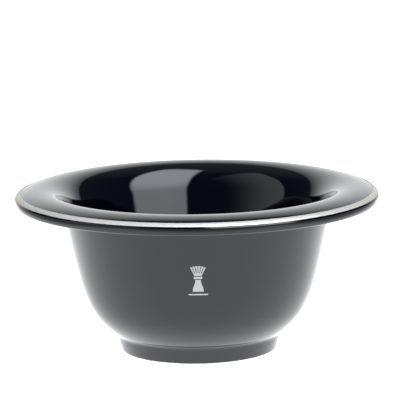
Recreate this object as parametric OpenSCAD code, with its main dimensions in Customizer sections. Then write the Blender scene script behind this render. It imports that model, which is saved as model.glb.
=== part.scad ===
// Shaving bowl: a round porcelain lathering bowl with a rolled brim and a ring foot.
// The bowl stands on the plane z = 0 and its axis is the Z axis. Lengths are in mm.
//
// One curve, "surface", runs over the glazed outside of the whole bowl: from the middle
// of the well, over the brim, down the wall and onto the foot. The same curve set in by
// the thickness of the glaze is the porcelain underneath, so the coats of glaze and the
// porcelain meet face to face.

/* [Brim] */
// Diameter over the brim
brim_d = 140; // [136:1:143]
// Height of the brim's crest, the top of the bowl
bowl_h = 63.5; // [61.5:0.5:66]
// Diameter of the crest circle
crest_d = 120.4; // [119:0.2:122]
// Radius of the brim's crown, from the throat over the crest to the edge
crown_r = 19.2; // [18:0.1:20.5]
// Radius of the throat, where the brim bends down into the well
throat_r = 12.5; // [11:0.1:14]
// How far the widest point of the brim lies below the crest
edge_drop = 3.3; // [3:0.1:3.6]
// How far the underside of the edge bead lies below the crest
bead_drop = 6.2; // [5.8:0.1:6.8]

/* [Wall] */
// Thickness of the wall and of the brim, glaze included
wall_t = 3.8; // [3.2:0.1:4.4]
// Lean of the wall at the neck, in degrees from the table
neck_lean = 76.8; // [74:0.2:80]
// Angle at which the belly leaves the foot, in degrees from the table
belly_lift = 38; // [34:1:42]
// Reach of the belly's curve beyond the foot
belly_reach = 15.2; // [12:0.2:18]
// Reach of the wall's curve below the neck
wall_reach = 24.7; // [20:0.1:28]

/* [Well] */
// Height of the well's floor above the table
floor_z = 8.8; // [8.2:0.1:9]
// Diameter of the flat middle of the floor
floor_flat_d = 46; // [36:1:52]

/* [Foot] */
// Diameter of the foot where it stands
foot_d = 59.4; // [57:0.2:61]
// Diameter of the foot at the crease under the belly
crease_d = 62.9; // [62:0.1:65]
// Height of the centre of the crease's fillet above the table
crease_z = 4.3; // [3.8:0.1:4.8]
// Radius of the fillet in the crease
crease_r = 4; // [3.4:0.1:4.6]
// Diameter inside the foot ring
foot_bore_d = 52.4; // [48:0.2:54]
// Rounding of the bearing edge
bearing_r = 0.3; // [0.2:0.05:0.35]

/* [Glaze and print] */
// Thickness of the glaze
glaze_t = 0.4; // [0.3:0.05:0.5]
// Height at which the glaze is wiped off the foot
glaze_line_z = 0.5; // [0.4:0.05:0.8]
// Thickness of the platinum band
band_t = 0.12; // [0.1:0.01:0.2]
// Thickness of the printed mark
print_t = 0.12; // [0.1:0.01:0.2]
// Height of the middle of the mark above the table
mark_z = 36.4; // [32:0.1:40]
// Height of the whole mark
mark_h = 11.6; // [8:0.1:13]

/* [Hidden] */

// Smoothness of circles in a faceted preview
$fn = 180;

// Straight steps in each stretch of the surface
floor_steps = 6;
throat_steps = 12;
crown_steps = 10;
edge_steps = 8;
bead_steps = 6;
wall_steps = 24;
crease_steps = 4;
corner_steps = 4;

// Brim
brim_r = brim_d / 2;
crest_r = crest_d / 2;
crown_centre = [crest_r, bowl_h - crown_r];
// The throat's arc takes over from the crown's at this angle and ends at the neck
throat_angle = 94;
throat_centre = polar(crown_centre, crown_r - throat_r, throat_angle);
neck_angle = 90 + neck_lean;
// The edge's turn begins this far inside the widest point
edge_w = 1.3;
edge_angle = acos((brim_r - edge_w - crest_r) / crown_r);
widest = [brim_r, bowl_h - edge_drop];
// The edge turns from the crown's slope to upright, and the bead turns on to level
edge_pull = 0.85;
edge_rise = 0.3;
bead_w = 2.1;
bead_low = [brim_r - bead_w, bowl_h - bead_drop];
// Share of the bead's width and height that makes its Bezier handles
bead_pull = 0.78;

// The underside of the brim is parallel to its top until it drops into the bead
under_end_angle = 86;

// Wall
neck_out = polar(throat_centre, throat_r - wall_t, neck_angle);
crease_centre = [crease_d / 2 + crease_r, crease_z];
belly_start = polar(crease_centre, crease_r, 90 + belly_lift);

// Foot
foot_r = foot_d / 2;
foot_bore_r = foot_bore_d / 2;
foot_taper = atan2(crease_d / 2 - foot_r, crease_z);
foot_top = polar(crease_centre, crease_r, 180 - foot_taper);
foot_low = [foot_r + glaze_t, 0];
foot_glaze_end = foot_low + (foot_top - foot_low) * glaze_line_z / foot_top.y;
// Rounding of the glaze in the corner of the recess
recess_corner_r = 1.6;

// A point at distance r from c, in the direction a
function polar(c, r, a) = c + r * [cos(a), sin(a)];

// Points round an arc
function arc(c, r, a0, a1, steps) =
    [for (i = [0:steps]) polar(c, r, a0 + (a1 - a0) * i / steps)];

// Points along a cubic Bezier curve
function bezier(p0, p1, p2, p3, steps) =
    [for (i = [0:steps]) let (t = i / steps, u = 1 - t)
        u^3 * p0 + 3 * u^2 * t * p1 + 3 * u * t^2 * p2 + t^3 * p3];

// A path without its first point, and a path from one index to another
function tail(path) = [for (i = [1:1:len(path) - 1]) path[i]];
function slice(path, from, to) = [for (i = [from:1:to]) path[i]];
function reversed(path) = [for (i = [len(path) - 1:-1:0]) path[i]];

// Paths joined end to start, each sharing a point with the next
function chain(paths, i = 0) =
    i == len(paths) - 1 ? paths[i]
    : concat(paths[i], tail(chain(paths, i + 1)));

// Index, in the chain, of the last point of path k
function end_of(paths, k) = k < 0 ? 0 : len(paths[k]) - 1 + end_of(paths, k - 1);

// The right-hand normal at point i, which points from the surface into the porcelain
function inward(path, i) =
    let (ahead = path[min(i + 1, len(path) - 1)] - path[max(i - 1, 0)])
    [ahead.y, -ahead.x] / norm(ahead);

// The path moved into the porcelain by depth, or out of it where depth is negative
function inset(path, depth) =
    [for (i = [0:len(path) - 1]) path[i] + depth * inward(path, i)];

// Stretches of the glazed surface. These run over the outside, from the brim to the foot
under_end = polar(crown_centre, crown_r - wall_t, under_end_angle);
under = chain([arc(crown_centre, crown_r - wall_t, under_end_angle, throat_angle, crown_steps),
               arc(throat_centre, throat_r - wall_t, throat_angle, neck_angle, throat_steps)]);
wall = bezier(neck_out,
              polar(neck_out, -wall_reach, neck_lean),
              polar(belly_start, belly_reach, belly_lift),
              belly_start,
              wall_steps);
crease = arc(crease_centre, crease_r, 90 + belly_lift, 180 - foot_taper, crease_steps);
foot_side = [foot_top, foot_glaze_end];

// These run from the middle of the well, whose wall is parallel to the outside, to the brim
outside = chain([under, wall, crease]);
under_steps = len(under) - 1;
well_wall = slice(inset(outside, wall_t), under_steps, under_steps + wall_steps);
floor_edge = [floor_flat_d / 2, floor_z];
well_foot = well_wall[wall_steps];
floor_pull = (well_foot.x - floor_edge.x) / 3;
floor_curve = bezier(floor_edge,
                     floor_edge + [floor_pull, 0],
                     polar(well_foot, -floor_pull, belly_lift),
                     well_foot,
                     floor_steps);
well = concat([[0, floor_z]], chain([floor_curve, reversed(well_wall)]));
throat = arc(throat_centre, throat_r, neck_angle, throat_angle, throat_steps);
crown = arc(crown_centre, crown_r, throat_angle, edge_angle, crown_steps);
crown_end = polar(crown_centre, crown_r, edge_angle);
edge = bezier(crown_end,
              polar(crown_end, edge_pull, edge_angle - 90),
              widest + [0, edge_rise],
              widest,
              edge_steps);
bead = bezier(widest,
              widest - [0, bead_pull * (widest.y - bead_low.y)],
              bead_low + [bead_pull * bead_w, 0],
              bead_low,
              bead_steps);
lip_back = bezier(bead_low,
                  bead_low - [bead_w / 2, 0],
                  polar(under_end, bead_w / 2, under_end_angle - 90),
                  under_end,
                  bead_steps);

// The surface, the porcelain below it, and where its stretches end
stretches = [well, throat, crown, edge, bead, lip_back, under, wall, crease, foot_side];
surface = chain(stretches);
porcelain = inset(surface, glaze_t);
crown_stop = end_of(stretches, 2);
edge_stop = end_of(stretches, 3);
under_stop = end_of(stretches, 6);
wall_stop = end_of(stretches, 7);
crease_stop = end_of(stretches, 8);
surface_end = len(surface) - 1;

// The platinum lies on the last step of the crown and the first ones of the edge, over the
// seam of the two coats of glaze
band_start = crown_stop - 1;
band_stop = edge_stop - 4;
coat_seam = crown_stop;

// The foot ring is luted to the flat under the body, level with the top of its side
joint_z = porcelain[crease_stop].y;

// The recess under the bowl: bare corner in the porcelain, rounded corner in the glaze
recess_z = joint_z - glaze_t;
recess_r = foot_bore_r - glaze_t;
recess = concat(
    [[recess_r, glaze_line_z]],
    arc([recess_r - recess_corner_r, recess_z - recess_corner_r], recess_corner_r,
        0, 90, corner_steps),
    [[0, recess_z]]);

// The mark: a shaving brush over a short rule, in shares of the mark's height
rule_t = mark_h * 0.045;
rule_w = mark_h * 0.62;
brush_h = mark_h * 0.88;
handle_h = brush_h * 0.46;
handle_w = brush_h * 0.4;
handle_waist = brush_h * 0.2;
collar_h = brush_h * 0.09;
collar_w = brush_h * 0.31;
mark_gap = brush_h * 0.035;
knot_w = brush_h * 0.62;
knot_root_w = brush_h * 0.27;
bristle_gap = brush_h * 0.028;
bristle_count = 6;
bristle_spread = 56;
// Share of the fan's height that the gaps between the bristles cut into
bristle_share = 0.72;
// Heights, in shares of the handle's, at which its side leaves the waist and meets the foot
shoulder_share = 0.55;
flare_share = 0.5;
side_steps = 10;

// Solid of revolution with the given outline
module turned(outline) {
    rotate_extrude() polygon(outline);
}

// A layer that lies on or in the surface between two of its points
module layer(outer, inner, from, to) {
    turned(concat(slice(outer, from, to), reversed(slice(inner, from, to))));
}

// White porcelain shell: well, wall and brim, flat underneath where the foot is luted on
module porcelain_body() {
    color("whitesmoke")
    turned(concat(slice(porcelain, 0, crease_stop), [[0, joint_z]]));
}

// Ring foot, with a rounded bearing edge left bare of glaze
module foot_ring() {
    side = slice(porcelain, crease_stop, surface_end);
    outer_corner = arc([foot_r - bearing_r, bearing_r], bearing_r, -foot_taper, -90, corner_steps);
    inner_corner = arc([foot_bore_r + bearing_r, bearing_r], bearing_r, -90, -180, corner_steps);
    color("ivory")
    turned(concat(side, outer_corner, inner_corner, [[foot_bore_r, joint_z]]));
}

// Black glaze inside the well and over the brim, down to the seam under the band
module inner_glaze() {
    color([0.03, 0.03, 0.04])
    layer(surface, porcelain, 0, coat_seam);
}

// Black glaze from the seam, down the outside, to the wiped line on the foot
module outer_glaze() {
    color([0.05, 0.05, 0.06])
    layer(surface, porcelain, coat_seam, surface_end);
}

// Black glaze in the recess inside the foot ring
module underside_glaze() {
    color([0.04, 0.04, 0.05])
    turned(concat(recess, [[0, joint_z], [foot_bore_r, joint_z], [foot_bore_r, glaze_line_z]]));
}

// Platinum line fired over the glaze on the edge of the brim
module platinum_band() {
    color("gainsboro")
    layer(inset(surface, -band_t), surface, band_start, band_stop);
}

// Fan of bristles above a collar
module knot_mark() {
    root_y = handle_h + collar_h + 2 * mark_gap;
    fan_h = brush_h - root_y;
    fan_r = (knot_w / 2) / sin(bristle_spread / 2);
    difference() {
        intersection() {
            translate([0, brush_h - fan_r]) circle(r = fan_r);
            polygon([[-knot_root_w / 2, root_y], [knot_root_w / 2, root_y],
                     [knot_w / 2, brush_h], [-knot_w / 2, brush_h]]);
        }
        for (i = [1:bristle_count - 1])
            translate([0, brush_h - fan_r])
            rotate(bristle_spread * (0.5 - i / bristle_count))
            translate([-bristle_gap / 2, fan_r - fan_h * bristle_share])
            square([bristle_gap, fan_h]);
    }
}

// Turned handle, narrow at the collar and wide at the foot
module handle_mark() {
    side = bezier([handle_waist / 2, handle_h],
                  [handle_waist / 2, handle_h * shoulder_share],
                  [handle_w / 2, handle_h * flare_share],
                  [handle_w / 2, 0],
                  side_steps);
    polygon(concat(side, [for (p = reversed(side)) [-p.x, p.y]]));
}

// The whole mark, drawn flat, with its middle at the origin
module brush_mark() {
    translate([0, mark_h / 2 - brush_h]) {
        knot_mark();
        translate([-collar_w / 2, handle_h + mark_gap]) square([collar_w, collar_h]);
        handle_mark();
    }
    translate([-rule_w / 2, -mark_h / 2]) square([rule_w, rule_t]);
}

// The mark printed on the front of the wall
module front_emblem() {
    color("silver")
    intersection() {
        translate([0, 0, mark_z]) rotate([90, 0, 0]) linear_extrude(height = brim_r) brush_mark();
        layer(inset(surface, -print_t), surface, under_stop, wall_stop);
    }
}

porcelain_body();
foot_ring();
inner_glaze();
outer_glaze();
underside_glaze();
platinum_band();
front_emblem();
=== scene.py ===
"""Looks of the shaving bowl: black glaze, a platinum line on the brim, a printed mark and a bare foot.

Lengths are in metres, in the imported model's frame: +Z up, the foot stands on z = 0 and the printed
mark faces -Y. Each turned piece is a fine smooth lathe mesh on the outline of its own CAD node.
"""

import math

import bpy
import numpy as np
from mathutils import Matrix, Vector


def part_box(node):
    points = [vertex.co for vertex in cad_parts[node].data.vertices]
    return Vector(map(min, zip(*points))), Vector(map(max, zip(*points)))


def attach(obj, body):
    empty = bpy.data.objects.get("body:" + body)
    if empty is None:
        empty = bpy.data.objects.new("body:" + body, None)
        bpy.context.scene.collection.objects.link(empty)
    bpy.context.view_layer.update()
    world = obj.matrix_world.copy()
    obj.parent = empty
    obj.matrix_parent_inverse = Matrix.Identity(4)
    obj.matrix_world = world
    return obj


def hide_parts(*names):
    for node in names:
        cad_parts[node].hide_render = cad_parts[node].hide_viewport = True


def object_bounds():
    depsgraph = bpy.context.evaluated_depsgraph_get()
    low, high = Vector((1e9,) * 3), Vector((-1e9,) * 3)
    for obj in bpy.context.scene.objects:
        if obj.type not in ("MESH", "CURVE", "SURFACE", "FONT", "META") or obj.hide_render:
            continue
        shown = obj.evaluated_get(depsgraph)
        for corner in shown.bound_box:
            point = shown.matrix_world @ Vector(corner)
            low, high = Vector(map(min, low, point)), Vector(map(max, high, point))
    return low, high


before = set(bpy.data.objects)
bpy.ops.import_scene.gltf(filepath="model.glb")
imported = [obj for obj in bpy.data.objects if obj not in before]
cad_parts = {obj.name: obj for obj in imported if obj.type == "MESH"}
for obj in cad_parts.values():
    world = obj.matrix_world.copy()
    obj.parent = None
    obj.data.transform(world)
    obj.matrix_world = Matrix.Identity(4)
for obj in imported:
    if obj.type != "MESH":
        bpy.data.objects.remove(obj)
cad_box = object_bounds()

MM = 0.001

# Lathe meshes
TURN_STEPS = 192             # steps round the axis
PROFILE_STEP = 0.5 * MM      # longest step along an outline
SAME_POINT = 0.02 * MM       # CAD vertices closer than this are one point of the outline
CORNER = math.radians(40)    # a sharper turn in an outline is a corner, a gentler one is smooth

# Camera
SENSOR = 36 * MM
CAMERA_DISTANCE = 1.10       # from the middle of the bowl
CAMERA_ELEVATION = math.radians(11.78)
CAMERA_ROLL = math.radians(-0.91)
BRIM_SHARE = 0.9042          # the brim's width, as a share of the picture's
AIM_SIDE = 0.0177            # the picture's middle right of the axis, as a share of the brim's radius
AIM_HEIGHT = 0.913           # and above the table, as a share of the bowl's height

# Table, glowing with painted light as if lit from below
TABLE_RADIUS = 6.0
TABLE_LIGHT = 1.66           # strength of its light near the bowl
TABLE_DIM = 0.3              # strength beyond the lit part
LIT_REACH = (1.86, 4.14)     # where the lit part starts and ends to fade, in radii of the brim
# Painted light: a pool of glow close round the foot hides the bowl's shadow on the table
FOOT_LIGHT = 1.18            # gain close round the foot
FOOT_REACH = (1.12, 1.75)    # where that gain starts and ends to fade, in radii of the foot
BACK_LIGHT = 1.1             # gain behind the bowl
BACK_REACH = 1.14            # where it is full, in radii of the brim

# Lamps with straight sides, as the corners in degrees round the bowl. A corner is (azimuth,
# elevation, softness of the side that leads to the next corner). Seen from outside, the sides run
# anticlockwise
KEY_LAMP = [(10.3, 6, 0.04), (61.5, 6, 0.04), (144.5, 73.4, 0.06), (-90, 87.4, 0.03)]
FILL_LAMP = [(-90, 0, 0.02), (-54, 0, 0.46), (-54, 66, 0.05), (-108, 63, 0.03)]


# ---------------------------------------------------------------- outlines and meshes

def cad_outline(name):
    """The outline of a turned CAD node as (radius, height) points in order, and whether it is a loop.

    All vertices of a turned solid lie on circles round the axis. Each circle is one point of the
    outline, and the mesh's edges say which circles are neighbours.
    """
    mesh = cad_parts[name].data
    places = np.array([(math.hypot(v.co.x, v.co.y), v.co.z) for v in mesh.vertices])
    points, circle = merge_points(places)
    links = [set() for _ in points]
    for edge in mesh.edges:
        a, b = (circle[v] for v in edge.vertices)
        if a != b:
            links[a].add(b)
            links[b].add(a)
    ends = [i for i, near in enumerate(links) if len(near) == 1]
    path = [ends[0] if ends else 0]
    while True:
        here = points[path[-1]]
        ahead = [i for i in links[path[-1]] if i not in path]
        if not ahead:
            break
        path.append(min(ahead, key=lambda i: np.linalg.norm(points[i] - here)))
    return points[path], not ends


def merge_points(places):
    """The distinct points among places, and for each place the number of its point."""
    order = np.lexsort((places[:, 1], places[:, 0]))
    points, number = [], np.zeros(len(places), int)
    recent = []
    for i in order:
        recent = [k for k in recent if places[i][0] - points[k][0] < SAME_POINT]
        match = [k for k in recent if abs(places[i][1] - points[k][1]) < SAME_POINT]
        if not match:
            points.append(places[i])
            match = [len(points) - 1]
            recent.append(match[0])
        number[i] = match[0]
    return np.array(points), number


def unit(vector):
    """The vector at length one."""
    return vector / np.linalg.norm(vector)


def turn_at(before, here, after):
    """The angle by which an outline turns at a point."""
    a = math.atan2(*(here - before)[::-1])
    b = math.atan2(*(after - here)[::-1])
    return abs((b - a + math.pi) % (2 * math.pi) - math.pi)


def ease_corners(points, loop, ease):
    """The outline with each sharp corner cut back by up to ease and replaced by three points."""
    out = []
    count = len(points)
    for i, here in enumerate(points):
        if not loop and i in (0, count - 1):
            out.append(here)
            continue
        before, after = points[i - 1], points[(i + 1) % count]
        if turn_at(before, here, after) < CORNER:
            out.append(here)
            continue
        reach = min(ease, 0.4 * np.linalg.norm(before - here), 0.4 * np.linalg.norm(after - here))
        start = here + reach * unit(before - here)
        end = here + reach * unit(after - here)
        out += [start, 0.5 * here + 0.25 * (start + end), end]
    return np.array(out)


def smooth_outline(points, loop):
    """The outline with a cubic curve through its points, straight into and out of each corner."""
    count = len(points)
    ahead = np.roll(points, -1, axis=0)
    behind = np.roll(points, 1, axis=0)
    curved = [(loop or 0 < i < count - 1) and turn_at(behind[i], points[i], ahead[i]) < CORNER
              for i in range(count)]
    out = []
    for i in range(count if loop else count - 1):
        after = (i + 1) % count
        start, chord = points[i], ahead[i] - points[i]
        length = np.linalg.norm(chord)
        leave = length * unit(ahead[i] - behind[i]) if curved[i] else chord
        arrive = length * unit(ahead[after] - start) if curved[after] else chord
        steps = max(1, math.ceil(length / PROFILE_STEP))
        for t in np.arange(steps) / steps:
            out.append(start + (3 * t**2 - 2 * t**3) * chord + (t**3 - 2 * t**2 + t) * leave
                       + (t**3 - t**2) * arrive)
    if not loop:
        out.append(points[-1])
    return np.clip(out, points.min(axis=0), points.max(axis=0))


def lathe(name, outline, loop):
    """A smooth mesh object turned from an outline. An open outline is closed at the axis."""
    if not loop:
        outline = np.vstack([[0, outline[0][1]], outline, [0, outline[-1][1]]])
    area = np.sum(outline[:, 0] * np.roll(outline[:, 1], -1) - np.roll(outline[:, 0], -1) * outline[:, 1])
    if area < 0:
        outline = outline[::-1]
    verts, rings = [], []
    for radius, height in outline:
        if radius < SAME_POINT:
            rings.append([len(verts)] * TURN_STEPS)
            verts.append((0, 0, height))
            continue
        rings.append(list(range(len(verts), len(verts) + TURN_STEPS)))
        for step in range(TURN_STEPS):
            angle = 2 * math.pi * step / TURN_STEPS
            verts.append((radius * math.cos(angle), radius * math.sin(angle), height))
    faces = []
    for k in range(len(rings) if loop else len(rings) - 1):
        low, high = rings[k], rings[(k + 1) % len(rings)]
        for step in range(TURN_STEPS):
            after = (step + 1) % TURN_STEPS
            corners = [low[step], low[after], high[after], high[step]]
            corners = list(dict.fromkeys(corners))
            if len(corners) > 2:
                faces.append(corners)
    mesh = bpy.data.meshes.new(name)
    mesh.from_pydata(verts, [], faces)
    mesh.shade_smooth()
    mesh.set_sharp_from_angle(angle=CORNER)
    piece = bpy.data.objects.new(name, mesh)
    bpy.context.scene.collection.objects.link(piece)
    return piece


def turned_piece(name, node, ease, material):
    """Replaces a turned CAD node with a smooth mesh on the same outline."""
    outline, loop = cad_outline(node)
    piece = lathe(name, smooth_outline(ease_corners(outline, loop, ease), loop), loop)
    piece.data.materials.append(material)
    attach(piece, "root")
    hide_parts(node)


# ---------------------------------------------------------------- shader helpers

def set_sockets(tree, node, **values):
    """Sets a node's inputs, or links those given as sockets.

    Names have underscores for spaces, and _0 is the first input.
    """
    for key, value in values.items():
        number = key[1:]
        socket = node.inputs[int(number) if number.isdigit() else key.replace("_", " ")]
        if isinstance(value, bpy.types.NodeSocket):
            tree.links.new(value, socket)
        else:
            socket.default_value = value


def add_node(tree, kind, settings=None, **values):
    """Adds a node with its settings and inputs."""
    made = tree.nodes.new(kind)
    for key, value in (settings or {}).items():
        setattr(made, key, value)
    set_sockets(tree, made, **values)
    return made


def math_node(tree, operation, first, second=0.0):
    """The result of an arithmetic node."""
    return add_node(tree, "ShaderNodeMath", {"operation": operation}, _0=first, _1=second).outputs[0]


def product(tree, first, *others):
    """All the factors multiplied."""
    for factor in others:
        first = math_node(tree, "MULTIPLY", first, factor)
    return first


def ramp(tree, value, low, high, to_low=0.0, to_high=1.0):
    """Value mapped smoothly from low..high to to_low..to_high."""
    made = add_node(tree, "ShaderNodeMapRange", {"interpolation_type": "SMOOTHSTEP"},
                    Value=value, From_Min=low, From_Max=high, To_Min=to_low, To_Max=to_high)
    return made.outputs["Result"]


def noise(tree, place, scale, detail=2.0):
    """Noise around 0.5, with about scale features in a metre."""
    made = add_node(tree, "ShaderNodeTexNoise", Vector=place, Scale=scale, Detail=detail, Roughness=0.5)
    return made.outputs["Fac"]


def blend_colour(tree, share, first, second):
    """A mix of two colours."""
    made = add_node(tree, "ShaderNodeMix", {"data_type": "RGBA"}, _0=share, _6=(*first, 1),
                    _7=(*second, 1))
    return made.outputs[2]


def new_material(name):
    """A material, its tree, its Principled shader, and the place of the shaded point."""
    material = bpy.data.materials.new(name)
    material.use_nodes = True
    tree = material.node_tree
    shader = tree.nodes["Principled BSDF"]
    place = add_node(tree, "ShaderNodeNewGeometry").outputs["Position"]
    return material, tree, shader, place


def bump(tree, shader, height, depth):
    """Gives the shader a relief of that depth in metres."""
    made = add_node(tree, "ShaderNodeBump", Height=height, Distance=depth, Strength=1.0)
    tree.links.new(made.outputs["Normal"], shader.inputs["Normal"])


# ---------------------------------------------------------------- materials

def black_glaze():
    """Deep black feldspar glaze: a hard, faintly wavy gloss with a cold tint and a few pinholes."""
    material, tree, shader, place = new_material("black_glaze")
    shader.inputs["IOR"].default_value = 1.53
    cloud = noise(tree, place, 60)
    haze = noise(tree, place, 900, 4)
    set_sockets(tree, shader,
                Base_Color=blend_colour(tree, cloud, (0.0004, 0.0008, 0.0022), (0.0009, 0.0012, 0.0030)),
                Roughness=ramp(tree, haze, 0.35, 0.75, 0.02, 0.05))
    flow = noise(tree, place, 45, 1)
    peel = product(tree, noise(tree, place, 420, 1), 0.02)
    cells = add_node(tree, "ShaderNodeTexVoronoi", Vector=place, Scale=130.0).outputs["Distance"]
    pits = product(tree, ramp(tree, cells, 0.02, 0.06), 0.03)
    height = math_node(tree, "ADD", math_node(tree, "ADD", flow, peel), pits)
    bump(tree, shader, height, 0.05 * MM)
    return material


def platinum():
    """Fired platinum lustre: satin silver, thin enough to scatter, with painted shade that makes it warmer
    and darker where it turns from view.
    """
    material, tree, shader, place = new_material("platinum_lustre")
    shader.inputs["Metallic"].default_value = 0.45
    worn = noise(tree, place, 160, 3)
    facing = add_node(tree, "ShaderNodeLayerWeight", Blend=0.5).outputs["Facing"]
    # Painted shade: the band's colour darkens and warms where its surface turns away from the view,
    # standing in for light falling off towards its ends
    painted_slant_shade = ramp(tree, facing, 0.35, 0.75)
    set_sockets(tree, shader,
                Base_Color=blend_colour(tree, painted_slant_shade, (0.84, 0.82, 0.77), (0.48, 0.46, 0.39)),
                Roughness=ramp(tree, worn, 0.3, 0.7, 0.36, 0.44))
    bump(tree, shader, noise(tree, place, 700), 0.004 * MM)
    return material


def silver_print():
    """Silver ink under a thin flux: bright, half metallic, with the fine mottle of a screen print."""
    material, tree, shader, place = new_material("silver_print")
    shader.inputs["Metallic"].default_value = 0.6
    mottle = noise(tree, place, 2600)
    set_sockets(tree, shader,
                Base_Color=blend_colour(tree, mottle, (0.44, 0.445, 0.455), (0.35, 0.355, 0.37)),
                Roughness=ramp(tree, mottle, 0.3, 0.7, 0.32, 0.45))
    bump(tree, shader, mottle, 0.01 * MM)
    return material


def bare_porcelain(name, clean, marked):
    """Unglazed porcelain: fine grained and matt, with grey marks where it has stood."""
    material, tree, shader, place = new_material(name)
    smudge = noise(tree, place, 140, 4)
    set_sockets(tree, shader,
                Base_Color=blend_colour(tree, ramp(tree, smudge, 0.45, 0.75), clean, marked),
                Roughness=ramp(tree, smudge, 0.3, 0.7, 0.62, 0.8))
    bump(tree, shader, noise(tree, place, 5000, 3), 0.02 * MM)
    return material


# ---------------------------------------------------------------- the bowl

glaze = black_glaze()
turned_piece("well_glaze", "inner_glaze", 0.05 * MM, glaze)
turned_piece("wall_glaze", "outer_glaze", 0.18 * MM, glaze)
turned_piece("recess_glaze", "underside_glaze", 0.18 * MM, glaze)
turned_piece("platinum_line", "platinum_band", 0.04 * MM, platinum())
turned_piece("ring_foot", "foot_ring", 0.1 * MM,
             bare_porcelain("bare_porcelain", (0.80, 0.78, 0.73), (0.52, 0.50, 0.47)))
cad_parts["porcelain_body"].data.materials[0] = bare_porcelain(
    "biscuit_porcelain", (0.84, 0.82, 0.78), (0.76, 0.73, 0.68))
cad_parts["front_emblem"].data.materials[0] = silver_print()


# ---------------------------------------------------------------- floor, light and camera

def pale_floor(brim, foot):
    """A plain white table that glows with painted light, as if lit from below, brightest near the bowl's
    foot and behind it.

    The lit part ends in front of the bowl and beside it. Brim and foot are the bowl's radii there.
    """
    bpy.ops.mesh.primitive_circle_add(vertices=96, radius=TABLE_RADIUS, fill_type="NGON")
    floor = bpy.context.object
    floor.name = "floor"
    material, tree, shader, place = new_material("white_table")
    axes = add_node(tree, "ShaderNodeSeparateXYZ", Vector=place).outputs
    aside = math_node(tree, "ABSOLUTE", axes["X"])
    ahead = product(tree, axes["Y"], -1.0)
    away = math_node(tree, "MAXIMUM", aside, ahead)
    radius = add_node(tree, "ShaderNodeVectorMath", {"operation": "LENGTH"}, _0=place).outputs["Value"]
    lit = ramp(tree, away, LIT_REACH[0] * brim, LIT_REACH[1] * brim, TABLE_LIGHT, TABLE_DIM)
    # Painted light: the glow rises close round the foot, hiding the bowl's shadow on the table
    near = ramp(tree, radius, FOOT_REACH[0] * foot, FOOT_REACH[1] * foot, FOOT_LIGHT, 1.0)
    behind = ramp(tree, axes["Y"], 0.0, BACK_REACH * brim, 1.0, BACK_LIGHT)
    shader.inputs["Specular IOR Level"].default_value = 0.0
    set_sockets(tree, shader, Base_Color=(0.15, 0.15, 0.15, 1), Roughness=0.9,
                Emission_Color=(0.965, 0.975, 0.985, 1), Emission_Strength=product(tree, lit, near, behind))
    floor.data.materials.append(material)


def towards(azimuth, elevation):
    """A unit vector. Azimuth 0 is towards the camera and 90 to the right of the picture."""
    a, e = math.radians(azimuth), math.radians(elevation)
    return Vector((math.sin(a) * math.cos(e), -math.cos(a) * math.cos(e), math.sin(e)))


def along(tree, direction, axis):
    """How far the unit vector direction reaches along the unit vector axis."""
    made = add_node(tree, "ShaderNodeVectorMath", {"operation": "DOT_PRODUCT"}, _0=direction, _1=axis)
    return made.outputs["Value"]


def soft_box(tree, direction, corners):
    """The share of light from a lamp with straight sides: 1 inside the lamp and 0 outside it."""
    sides = []
    for (*here, softness), (*after, _) in zip(corners, corners[1:] + corners[:1]):
        inwards = towards(*here).cross(towards(*after)).normalized()
        sides.append(ramp(tree, along(tree, direction, inwards), -softness, softness))
    return product(tree, *sides)


def glow(tree, direction, middle, inner, outer, low=0.0, high=1.0):
    """A round glow that is high within inner degrees of its middle and falls to low by outer."""
    edge, core = math.cos(math.radians(outer)), math.cos(math.radians(inner))
    return ramp(tree, along(tree, direction, towards(*middle)), edge, core, low, high)


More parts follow.
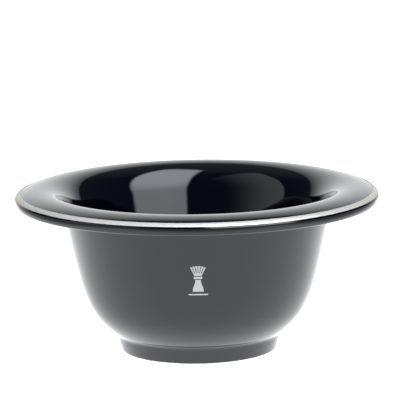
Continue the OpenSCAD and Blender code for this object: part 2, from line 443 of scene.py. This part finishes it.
def studio():
    """Soft studio light in a dark room.

    A large soft box leans over the bowl from the right of the camera, a weak one stands on the
    left, and a lit backdrop stands behind. The large one is left out of reflections of
    reflections, so the well is as dark as black glaze looks. The camera sees plain white.
    """
    world = bpy.data.worlds.new("studio")
    bpy.context.scene.world = world
    world.use_nodes = True
    tree = world.node_tree
    direction = add_node(tree, "ShaderNodeTexCoord").outputs["Generated"]
    path = add_node(tree, "ShaderNodeLightPath").outputs
    first_reflection = ramp(tree, path["Glossy Depth"], 1, 2, 1.0, 0.0)
    hot_spot = glow(tree, direction, (39, 58), 4, 48, 2.9, 5.1)
    key = product(tree, soft_box(tree, direction, KEY_LAMP), hot_spot, first_reflection)
    fill = soft_box(tree, direction, FILL_LAMP)
    horizon = glow(tree, direction, (182, 5), 8, 51, 0.12, 1.33)
    backdrop = product(tree, glow(tree, direction, (183, 0), 45, 48.5), horizon)
    ceiling = glow(tree, direction, (-170, 68), 15, 40)
    lights = [
        ((0.965, 0.98, 1.055), key),
        ((0.75, 0.76, 0.83), fill),
        ((0.985, 1.01, 0.995), backdrop),
        ((0.12, 0.12, 0.12), ceiling),
    ]
    total = (0.04, 0.05, 0.07)
    for colour, share in lights:
        light = add_node(tree, "ShaderNodeVectorMath", {"operation": "SCALE"}, _0=colour, Scale=share)
        total = add_node(tree, "ShaderNodeVectorMath", {"operation": "ADD"},
                         _0=light.outputs["Vector"], _1=total).outputs["Vector"]
    seen = add_node(tree, "ShaderNodeMix", {"data_type": "RGBA"}, _0=path["Is Camera Ray"], _6=total,
                    _7=(1, 1, 1, 1))
    set_sockets(tree, tree.nodes["Background"], Color=seen.outputs[2])


def camera(low, high):
    """The camera, whose distance and lens keep the brim at its share of the picture."""
    made = bpy.data.objects.new("camera", bpy.data.cameras.new("camera"))
    bpy.context.scene.collection.objects.link(made)
    bpy.context.scene.camera = made
    brim = high.x - low.x
    made.data.sensor_width = SENSOR / MM
    made.data.lens = SENSOR / MM * BRIM_SHARE * CAMERA_DISTANCE / brim
    middle = Vector((0, 0, high.z / 2))
    aim = Vector((AIM_SIDE * brim / 2, 0, AIM_HEIGHT * high.z))
    back = towards(0, math.degrees(CAMERA_ELEVATION))
    made.location = middle + back * CAMERA_DISTANCE
    look = (aim - made.location).to_track_quat("-Z", "Y").to_matrix()
    roll = Matrix.Rotation(CAMERA_ROLL, 3, "Z")
    made.rotation_euler = (look @ roll).to_euler()


pale_floor(cad_box[1].x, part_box("foot_ring")[1].x)
studio()
camera(*cad_box)
bpy.context.scene.view_settings.view_transform = "Standard"
